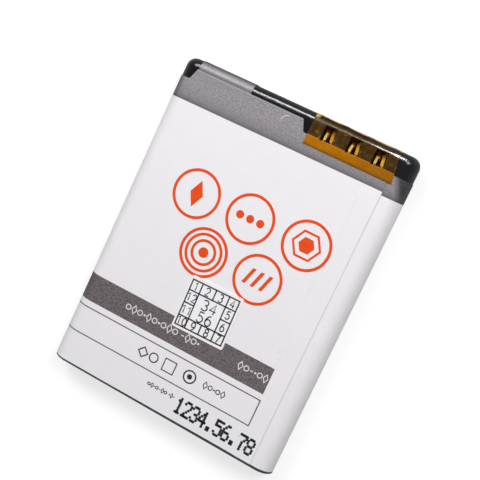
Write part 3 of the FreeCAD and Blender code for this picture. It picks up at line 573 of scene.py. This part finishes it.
def disc(middle, outline, lie=lie_on_label):
    """A filled figure: a rim from the foot of the ink up to its outline, quads along the top
    from there in to a like outline of a fiftieth the size round the middle, and one face
    that fills that."""
    outline = np.asarray(outline, float)
    middle = np.asarray(middle, float)
    inner = middle + (outline - middle) * 0.02
    rows = [lie(outline, INK_FOOT), lie(outline, INK_TOP), lie(inner, INK_TOP)]
    count = len(outline)
    step = np.arange(count)
    following = (step + 1) % count
    faces = np.vstack([np.column_stack([step + row * count, following + row * count,
                                        following + (row + 1) * count, step + (row + 1) * count])
                       for row in range(2)])
    middle_face = np.arange(count) + 2 * count
    return np.vstack(rows), faces, middle_face


def print_piece(name, parts, material):
    """Joins strokes and filled figures into one mesh that rides on the pack."""
    spots, faces, start = [], [], 0
    for part in parts:
        spots.append(part[0])
        faces += (part[1] + start).tolist()
        if len(part) == 3:
            faces.append((part[2] + start).tolist())
        start += len(part[0])
    piece = lay_piece(name, np.vstack(spots), faces, material)
    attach(piece, "root")


def circle(middle, radius, count=96):
    """Points at equal angles, anticlockwise."""
    angle = np.arange(count) * 2 * math.pi / count
    return np.column_stack([np.cos(angle), np.sin(angle)]) * radius + middle


orange = finish("orange ink", colour(240, 83, 8), colour(226, 64, 3), 0.42, 0.55, 0.8, 9.0,
                (1, 1, 1), 0.002)
orange.node_tree.nodes["Principled BSDF"].inputs["Specular IOR Level"].default_value = 0.22
rings = [stroke(circle(spot, RING_OUTER - RING_STROKE / 2, RING_POINTS), RING_STROKE, True)
         for spot in RING_PLACES]
lozenge = RING_PLACES[0] + np.array([(0.95, 0), (0, 1.9), (-0.95, 0), (0, -1.9)])
rings.append(disc(RING_PLACES[0], lozenge))
rings += [disc(RING_PLACES[1] + (1.5 * k, 0), circle(RING_PLACES[1] + (1.5 * k, 0), 0.55, 32))
          for k in (-1, 0, 1)]
rings.append(disc(RING_PLACES[2], circle(RING_PLACES[2], 1.15, 6)))
rings.append(stroke(circle(RING_PLACES[2], 1.95, 6), 0.3, True))
rings += [stroke(circle(RING_PLACES[3], radius), 0.38, True) for radius in (2.45, 1.6)]
rings.append(disc(RING_PLACES[3], circle(RING_PLACES[3], 0.7, 48)))
slanted = np.array([(-0.62, -1.15), (-0.12, -1.15), (0.62, 1.15), (0.12, 1.15)])
rings += [disc(RING_PLACES[4] + (1.25 * k, 0), slanted + RING_PLACES[4] + (1.25 * k, 0))
          for k in (-1, 0, 1)]
print_piece("orange_rings", rings, orange)


# Signs of the bands and the outline box. Rows of small plain figures, white in the grey band
# and dark below it, screened in the same print as the rings.
def sign_row(start, low, tall, width, pattern):
    """A row of plain figures of one line width: o is a ring, x a lozenge, a full stop a
    dot, - a level bar and a blank a gap, each set beside the one before."""
    parts, across = [], start
    for sign in pattern:
        if sign == "o":
            parts.append(stroke(circle((across + 0.3 * tall, low + 0.5 * tall), 0.3 * tall, 40),
                                width, True))
        elif sign == "x":
            lozenge = np.array([(0.3, 0), (0, 0.52), (-0.3, 0), (0, -0.52)]) * tall
            parts.append(stroke(lozenge + (across + 0.3 * tall, low + 0.5 * tall), width, True))
        elif sign == ".":
            spot = (across + 0.12 * tall, low + 0.5 * tall)
            parts.append(disc(spot, circle(spot, 0.14 * tall, 20)))
        elif sign == "-":
            parts.append(stroke([(across, low + 0.5 * tall),
                                 (across + 0.4 * tall, low + 0.5 * tall)], width))
        across += {"o": 0.8, "x": 0.8, ".": 0.42, "-": 0.6, " ": 0.3}[sign] * tall
    return parts


white_ink = finish("white ink", colour(232, 229, 233), colour(214, 211, 216), 0.42, 0.55, 0.8,
                   9.0, (1, 1, 1), 0.002)
white_signs = sign_row(-10.2, -12.05, 1.15, 0.14, "oxo.xo.oxo -xo.")
white_signs += sign_row(7.2, -11.85, 1.1, 0.14, "xo-.ox")
print_piece("band_bars", white_signs, white_ink)

black_ink = finish("black ink", colour(42, 40, 46), colour(28, 27, 31), 0.42, 0.56, 0.8, 9.0,
                   (1, 1, 1), 0.002)
marks = [stroke(circle((-5.35, -16.03), 0.72, 4), 0.17, True),
         stroke(circle((-3.65, -16.03), 0.62, 48), 0.17, True),
         stroke([(-2.05, -16.93), (-0.35, -16.93), (-0.35, -15.24), (-2.05, -15.24)], 0.15, True),
         stroke(circle((1.96, -15.98), 0.85, 64), 0.2, True),
         disc((1.96, -15.98), circle((1.96, -15.98), 0.36, 32))]
marks += sign_row(4.1, -16.45, 0.95, 0.13, "xo.ox")
marks += sign_row(-2.95, -19.78, 0.62, 0.12, "ox.o-xo .x.")
print_piece("outline_marks", marks, black_ink)

# Stamped number. Dots of black ink shot on the finished label by an ink jet coder, a plain
# running number on a row that drops slightly to the right; the dots run into each other.
# Each figure has seven rows of five cells, and a row's cells are the bits of a number.
DOTS = {
    "0": (14, 17, 17, 17, 17, 17, 14), "1": (4, 12, 4, 4, 4, 4, 14),
    "2": (14, 17, 1, 2, 4, 8, 31), "3": (14, 17, 1, 6, 1, 17, 14),
    "4": (2, 6, 10, 18, 31, 2, 2), "5": (31, 16, 30, 1, 1, 17, 14),
    "6": (6, 8, 16, 30, 17, 17, 14), "7": (31, 1, 2, 4, 4, 4, 4),
    "8": (14, 17, 17, 14, 17, 17, 14), ".": (0, 0, 0, 0, 0, 12, 12)}
NUMBER_START = np.array([1.92, -19.12])
NUMBER_PITCH = 1.212
NUMBER_SLOPE = math.radians(-1.25)
DOT_STEP = (0.225, 0.33)
DOT_RADIUS = 0.2
dots = []
for place_in_row, sign in enumerate("1234.56.78"):
    cells = np.array([[row >> (4 - column) & 1 for column in range(5)] for row in DOTS[sign]])
    rows, columns = np.nonzero(cells)
    spots = np.column_stack([place_in_row * NUMBER_PITCH + columns * DOT_STEP[0],
                             -rows * DOT_STEP[1]])
    turned = spots @ np.array([(math.cos(NUMBER_SLOPE), math.sin(NUMBER_SLOPE)),
                               (-math.sin(NUMBER_SLOPE), math.cos(NUMBER_SLOPE))])
    dots += [disc(spot, circle(spot, DOT_RADIUS, 12)) for spot in turned + NUMBER_START]
print_piece("stamped_number", dots, black_ink)


# Sticker. White coated paper with a pale cut edge, stuck on by hand a little askew over the
# rings and the band.
STICKER_MIDDLE = (0.525, -7.07)
STICKER_TURN = math.radians(1.69)
STICKER_TOP = 4.28
paper_white = finish("coated paper", colour(246, 244, 246), colour(240, 238, 241), 0.5, 0.62,
                     0.6, 8.0, (1, 1, 1), 0.004)
dress(paper_white, "date_sticker")


# Print of the sticker. A grid of twelve cells like a dial, counted round from the top left,
# and a middle field with two plain numbers, all in thin black lines.
COLUMNS = np.array([-3.535, -2.049, -0.017, 1.965, 3.461])
ROWS = np.array([3.199, 1.715, -0.065, -1.914, -3.279])
CELLS = ((0, 0), (1, 0), (2, 0), (3, 0), (3, 1), (3, 2), (3, 3), (2, 3), (1, 3), (0, 3), (0, 2),
         (0, 1))
LINE = 0.19
CELL_STROKE = 0.155
MIDDLE_STROKE = 0.17


def lie_on_sticker(flat, height):
    """Points of the sticker's own plane, turned by its angle and moved to its middle."""
    cosine, sine = math.cos(STICKER_TURN), math.sin(STICKER_TURN)
    turned = flat @ np.array([(cosine, sine), (-sine, cosine)]) + STICKER_MIDDLE
    return np.column_stack([turned, np.full(len(flat), STICKER_TOP + height)]) / 1000


def arc(across, along, wide, tall, start, stop, count=24):
    """Points of an ellipse from one angle to another, in degrees."""
    angle = np.radians(np.linspace(start, stop, count))
    return np.column_stack([across + wide * np.cos(angle), along + tall * np.sin(angle)])


SIX = [arc(0.3, 0.32, 0.26, 0.32, 0, 360), arc(0.5, 0.38, 0.46, 0.62, 100, 180)]
FIGURES = {
    "0": [arc(0.3, 0.5, 0.27, 0.5, 0, 360)],
    "1": [np.array([(0.12, 0.76), (0.36, 1), (0.36, 0)])],
    "2": [np.vstack([arc(0.29, 0.71, 0.26, 0.29, 165, -30), [(0.04, 0), (0.57, 0)]])],
    "3": [arc(0.28, 0.75, 0.24, 0.25, 150, -90), arc(0.28, 0.26, 0.28, 0.26, 90, -150)],
    "4": [np.array([(0.44, 0), (0.44, 1), (0.02, 0.3), (0.6, 0.3)])],
    "5": [np.vstack([[(0.52, 1), (0.14, 1), (0.08, 0.52)],
                     arc(0.28, 0.32, 0.28, 0.32, 125, -150)])],
    "6": SIX,
    "7": [np.array([(0.03, 1), (0.57, 1), (0.22, 0)])],
    "8": [arc(0.3, 0.76, 0.23, 0.24, 0, 360), arc(0.3, 0.27, 0.27, 0.27, 0, 360)],
    "9": [np.array([0.6, 1.0]) - part for part in SIX]}


def write(number, middle, tall, wide, width, lie):
    """A plain number as strokes, centred on a point. Each figure's lines are given in a
    field 0.6 wide and 1 tall; the pitch of the figures is 0.8 of the height."""
    parts = []
    for index, sign in enumerate(number):
        shift = (index - (len(number) - 1) / 2) * 0.8 * wide
        for line in FIGURES[sign]:
            spots = (line - (0.3, 0.5)) * (wide, tall) + (shift, 0) + middle
            parts.append(stroke(spots, width, lie=lie))
    return parts


frame_line = np.array([(COLUMNS[0], ROWS[0]), (COLUMNS[-1], ROWS[0]), (COLUMNS[-1], ROWS[-1]),
                       (COLUMNS[0], ROWS[-1])])
lines = [stroke(frame_line, LINE, True, lie_on_sticker)]
for first, last in (((1, 0), (1, 4)), ((3, 0), (3, 4)), ((2, 0), (2, 1)), ((2, 3), (2, 4)),
                    ((0, 1), (4, 1)), ((0, 3), (4, 3)), ((0, 2), (1, 2)), ((3, 2), (4, 2))):
    ends = np.array([(COLUMNS[first[0]], ROWS[first[1]]), (COLUMNS[last[0]], ROWS[last[1]])])
    lines.append(stroke(ends, LINE, lie=lie_on_sticker))
for count, (column, row) in enumerate(CELLS, start=1):
    middle = ((COLUMNS[column] + COLUMNS[column + 1]) / 2, (ROWS[row] + ROWS[row + 1]) / 2)
    lines += write(str(count), middle, 1.08, 1.0, CELL_STROKE, lie_on_sticker)
for number, middle in (("34", 0.67), ("56", -1.03)):
    lines += write(number, (COLUMNS[2], middle), 1.42, 1.5, MIDDLE_STROKE, lie_on_sticker)
print_piece("sticker_print", lines, black_ink)


# Amber film. Polyimide film with a clear adhesive, laid over the contacts and pressed round
# the end of the cap. It shows amber on the label and dark olive on the black cap, and over
# the three slots it sags a little and lets the contacts show through.
FILM_SIDES = (2.375, 14.475)
FILM_FOOT = 18.35
LABEL_EDGE = 19.65
CAP_FACE = 4.12
CAP_ROUND = 1.3
CAP_FOLD = 21.37
FILM_LOW = 0.78
FILM_THICK = 0.04
FILM_CLEAR = 0.005
SLOT_WIDTH = 1.75
SKEW = 0.5
FALL = 1.0
SLACK = 0.035
SLACK_FROM, SLACK_TO = 19.9, 21.75
WAVE = 0.008


def film_surface(depth):
    """A grid over the distance across the pack and the distance along the film's section.
    The film is cut askew at its right side, which runs out to the foot by SKEW.
    The section is straight on the label, drops to the cap's face, turns round the cap's
    quarter circle and runs down the end. The depth is added along the section's normal. On
    the label the lap's step is added, the slots take a dent shaped as a squared cosine, and
    two crossed sine waves make the film uneven."""
    flat = np.array([FILM_FOOT, 18.8, 19.2, 19.5, LABEL_EDGE, 19.72, 19.8, 19.9])
    flat = np.concatenate([flat, np.linspace(20.05, CAP_FOLD, 10)])
    turn = np.linspace(0, math.pi / 2, 16)[1:]
    down = np.linspace(CAP_FACE - CAP_ROUND, FILM_LOW, 10)[1:]
    along = np.concatenate([flat, CAP_FOLD + CAP_ROUND * np.sin(turn),
                            np.full(len(down), CAP_FOLD + CAP_ROUND)])
    height = np.concatenate([np.full(len(flat), CAP_FACE),
                             CAP_FACE - CAP_ROUND + CAP_ROUND * np.cos(turn), down])
    lean = np.concatenate([np.zeros(len(flat)), turn, np.full(len(down), math.pi / 2)])
    right = FILM_SIDES[1] + SKEW * np.clip((CAP_FOLD - along) / (CAP_FOLD - FILM_FOOT), 0, 1)
    across = FILM_SIDES[0] + (right - FILM_SIDES[0]) * np.linspace(0, 1, 128)[:, None]
    lap = np.clip((across - LAP[0]) / (LAP[1] - LAP[0]), 0, 1) * LAP[2]
    lap = lap * np.clip((SEAM + 0.5 - across) / 0.45, 0, 1)
    on_label = np.clip((LABEL_EDGE + FALL - along) / FALL, 0, 1)
    rest = on_label * (FACE - CAP_FACE + lap)
    dent = sum(np.cos(math.pi * np.clip((across - slot) / SLOT_WIDTH, -0.5, 0.5)) ** 2
               for slot in SLOTS)
    window = (np.clip((along - SLACK_FROM) / 0.5, 0, 1)
              * np.clip((SLACK_TO - along) / 0.3, 0, 1))
    waves = WAVE * np.sin(across * 1.9 + 0.6) * np.sin(along * 2.3 + height * 1.7)
    out = depth + waves - SLACK * dent * window
    return np.stack([across, along + out * np.sin(lean), height + rest + out * np.cos(lean)],
                    -1) / 1000


def closed_sheet(outer, inner):
    """Faces between two like grids of points: both grids and the four rims between them."""
    rows, columns = outer.shape[:2]
    number = np.arange(rows * columns).reshape(rows, columns)
    quads = np.stack([number[:-1, :-1], number[1:, :-1], number[1:, 1:], number[:-1, 1:]], -1)
    rim = np.concatenate([number[:-1, 0], number[-1, :-1], number[:0:-1, -1], number[0, :0:-1]])
    after = np.roll(rim, -1)
    size = rows * columns
    sides = np.column_stack([after, rim, rim + size, after + size])
    faces = np.vstack([quads.reshape(-1, 4), quads.reshape(-1, 4)[:, ::-1] + size, sides])
    return np.vstack([outer.reshape(-1, 3), inner.reshape(-1, 3)]), faces


amber, tree, shader, place = new_material("amber film")
x, y, z = add(tree, "ShaderNodeSeparateXYZ", {0: place}).outputs
on_label = ramp(tree, y, LABEL_EDGE + 0.03, LABEL_EDGE - 0.03)
gaps = [calc(tree, "ABSOLUTE", calc(tree, "SUBTRACT", x, slot)) for slot in SLOTS]
nearest = calc(tree, "MINIMUM", gaps[0], calc(tree, "MINIMUM", gaps[1], gaps[2]))
in_slot = calc(tree, "MULTIPLY", ramp(tree, nearest, SLOT_WIDTH / 2, SLOT_WIDTH / 2 - 0.08),
               ramp(tree, y, LABEL_EDGE - 0.05, LABEL_EDGE + 0.02))
in_slot = calc(tree, "MULTIPLY", in_slot, ramp(tree, y, 21.85, 21.6))

# Over the cap the film is olive with pale and brown blots, on the label amber, with a painted
# highlight along the ridge between. It darkens to the right and in the slots, has painted shade
# round the end, and painted glints of light at its edge in short runs and at its left corner.
olive = grain(tree, place, colour(90, 67, 25), colour(52, 35, 19), 0.03, 0.07, 0.9, 4.0)
bright = grain(tree, place, colour(192, 124, 14), colour(168, 98, 4), 0.08, 0.16, 0.8, 7.0,
               (1, 2.5, 1))
streaks = add(tree, "ShaderNodeTexNoise", {"Vector": place, "Scale": 0.9, "Detail": 2.0}).outputs[0]
film_colour = tint(tree, ramp(tree, streaks, 0.56, 0.68), olive["Colour"], colour(112, 82, 28))
blots = add(tree, "ShaderNodeTexNoise", {"Vector": place, "Scale": 1.7, "Detail": 2.0}).outputs[0]
film_colour = tint(tree, ramp(tree, blots, 0.5, 0.6, 0.0, 0.7), film_colour, colour(58, 32, 20))
film_colour = tint(tree, on_label, film_colour, bright["Colour"])
# Painted highlight along the ridge where the film rides over the label's edge.
ridge_highlight = ramp(tree, calc(tree, "ABSOLUTE", calc(tree, "SUBTRACT", y, LABEL_EDGE + 0.02)), 0.09, 0.03)
film_colour = tint(tree, calc(tree, "MULTIPLY", ridge_highlight, 0.5), film_colour, colour(222, 152, 48))
film_colour = tint(tree, ramp(tree, x, 3.0, 14.0, 0.0, 0.25), film_colour, colour(60, 38, 12))
film_colour = tint(tree, in_slot, film_colour, colour(52, 24, 6))
# Painted shade where the film turns down round the cap's end.
round_shade = calc(tree, "MULTIPLY", ramp(tree, z, 3.95, 3.72), ramp(tree, z, 1.8, 2.7, 0.5, 1.0))
film_colour = tint(tree, round_shade, film_colour, colour(34, 22, 12))
stand = add(tree, "ShaderNodeTexNoise", {"Vector": place, "Scale": 0.55, "Detail": 3.0}).outputs[0]
# Painted light: golden glints of light through the film's edge, in runs and at its left corner.
edge_glint = calc(tree, "MULTIPLY", ramp(tree, z, 3.5, 3.25), ramp(tree, stand, 0.49, 0.6))
edge_glint = calc(tree, "MULTIPLY", edge_glint, ramp(tree, z, 2.72, 2.86))
corner_glint = calc(tree, "MULTIPLY", ramp(tree, x, 3.1, 2.6), ramp(tree, z, 4.0, 3.8))
corner_glint = calc(tree, "MULTIPLY", corner_glint, ramp(tree, z, 2.72, 2.95))
edge_glint = calc(tree, "MAXIMUM", edge_glint, calc(tree, "MULTIPLY", corner_glint, 0.7))
film_colour = tint(tree, calc(tree, "MULTIPLY", edge_glint, 0.85), film_colour,
                   colour(255, 206, 104))
tree.links.new(film_colour, shader.inputs["Base Color"])
tree.links.new(calc(tree, "ADD", olive["Roughness"], ramp(tree, x, 3.5, 12.5, 0.2, 0.0)),
               shader.inputs["Roughness"])
tree.links.new(mix(tree, in_slot, 0.96, 0.1), shader.inputs["Alpha"])
shader.inputs["Specular IOR Level"].default_value = 0.09
shader.inputs["Coat Roughness"].default_value = 0.05
tree.links.new(ramp(tree, x, 9.0, 13.0, 0.0, 0.6), shader.inputs["Coat Weight"])
emboss(tree, shader, olive["Height"], 0.004)
spots, faces = closed_sheet(film_surface(FILM_CLEAR + FILM_THICK), film_surface(FILM_CLEAR))
film = lay_piece("amber_film", spots, faces.tolist(), amber)
film.data.shade_smooth()
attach(film, "root")
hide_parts("contact_film")


# Floor. A matt grey card a hair below the pack's back, which takes the pack's shadow. It glows
# for the camera, which sees it white, and only faintly in what the pack mirrors.
FLOOR_LEVEL = -0.00005
FLOOR_HALF = 3.0
ground, tree, shader, place = new_material("pale floor")
shader.inputs["Base Color"].default_value = (0.42, 0.42, 0.42, 1)
shader.inputs["Roughness"].default_value = 0.9
shader.inputs["Specular IOR Level"].default_value = 0.1
rays = tree.nodes.new("ShaderNodeLightPath").outputs
mirrored = calc(tree, "MAXIMUM", rays["Is Glossy Ray"], rays["Is Transmission Ray"])
seen = calc(tree, "MAXIMUM", calc(tree, "MULTIPLY", rays["Is Camera Ray"], 0.68),
            calc(tree, "MULTIPLY", mirrored, 0.05))
shader.inputs["Emission Color"].default_value = (1, 1, 1, 1)
tree.links.new(seen, shader.inputs["Emission Strength"])
corners = np.array([(-1, -1, 0), (1, -1, 0), (1, 1, 0), (-1, 1, 0)]) * FLOOR_HALF
floor = lay_piece("floor", corners + (0, 0, FLOOR_LEVEL), [(0, 1, 2, 3)], ground)


# Surroundings. White for the camera, and a soft light that grows a little upwards. What the
# pack mirrors of them is kept weak and falls off upwards, so that the black end stays black.
world = bpy.data.worlds.new("studio")
bpy.context.scene.world = world
world.use_nodes = True
tree = world.node_tree
background = tree.nodes["Background"]
rays = tree.nodes.new("ShaderNodeLightPath").outputs
toward = tree.nodes.new("ShaderNodeTexCoord").outputs["Generated"]
upward = add(tree, "ShaderNodeSeparateXYZ", {0: toward}).outputs[2]
mirrored = ramp(tree, upward, 0.1, 0.75, 0.34, 0.12)
ambient = ramp(tree, upward, 0.0, 1.0, 0.2, 0.34)
seen = mix(tree, calc(tree, "MAXIMUM", rays["Is Glossy Ray"], rays["Is Transmission Ray"]),
           ambient, mirrored)
background.inputs["Color"].default_value = (1, 1, 1, 1)
tree.links.new(mix(tree, rays["Is Camera Ray"], seen, 1.0), background.inputs["Strength"])


# Lamps. All stand beyond the contact end. Two soft boxes, left and right, light the printed
# face. A strip and a card light nothing matt and show only as highlights on what is glossy.
def lamp(name, spot, target, size, power):
    """A rectangular lamp at a spot, in metres, which the camera doesn't see. Its axes follow
    from the line to its target: back along it, side across it and level, up square to both."""
    light = bpy.data.lights.new(name, "AREA")
    light.shape = "RECTANGLE"
    light.size, light.size_y = size
    light.energy = power
    holder = bpy.data.objects.new(name, light)
    bpy.context.scene.collection.objects.link(holder)
    spot, target = np.array(spot), np.array(target)
    back = (spot - target) / np.linalg.norm(spot - target)
    side = np.cross((0, 0, 1), back)
    side /= np.linalg.norm(side)
    up = np.cross(back, side)
    turn = np.eye(4)
    turn[:3] = np.column_stack([side, up, back, spot])
    holder.matrix_world = Matrix(turn.tolist())
    holder.visible_camera = False
    return holder


end_strip = lamp("end strip", (-0.055, 0.279, 0.228), (-0.02, 0.02, 0.004), (0.15, 0.08), 1.0)
end_strip.visible_diffuse = False
corner_card = lamp("corner card", (0.0, 0.279, 0.228), (0.01, 0.02, 0.004), (0.07, 0.17), 0.95)
corner_card.visible_diffuse = False
lamp("left soft box", (-0.13, 0.15, 0.18), (0, 0, 0), (0.1, 0.1), 0.345)
lamp("right soft box", (0.115, 0.15, 0.2), (0, 0, 0), (0.1, 0.1), 0.37)


# Camera. A short telephoto lens close above the pack. Its place, turn and focal length come
# from the perspective of the pack's straight edges, the printed circles and the sticker.
shot = bpy.data.cameras.new("photo view")
shot.sensor_width = 36
shot.lens = 69.487
shot.clip_start = 0.005
camera = bpy.data.objects.new("photo view", shot)
bpy.context.scene.collection.objects.link(camera)
camera.location = (0.02957, 0.018175, 0.12111)
camera.rotation_euler = [math.radians(angle) for angle in (-0.18724, 15.63437, 25.99167)]
bpy.context.scene.camera = camera
bpy.context.scene.view_settings.view_transform = "Standard"
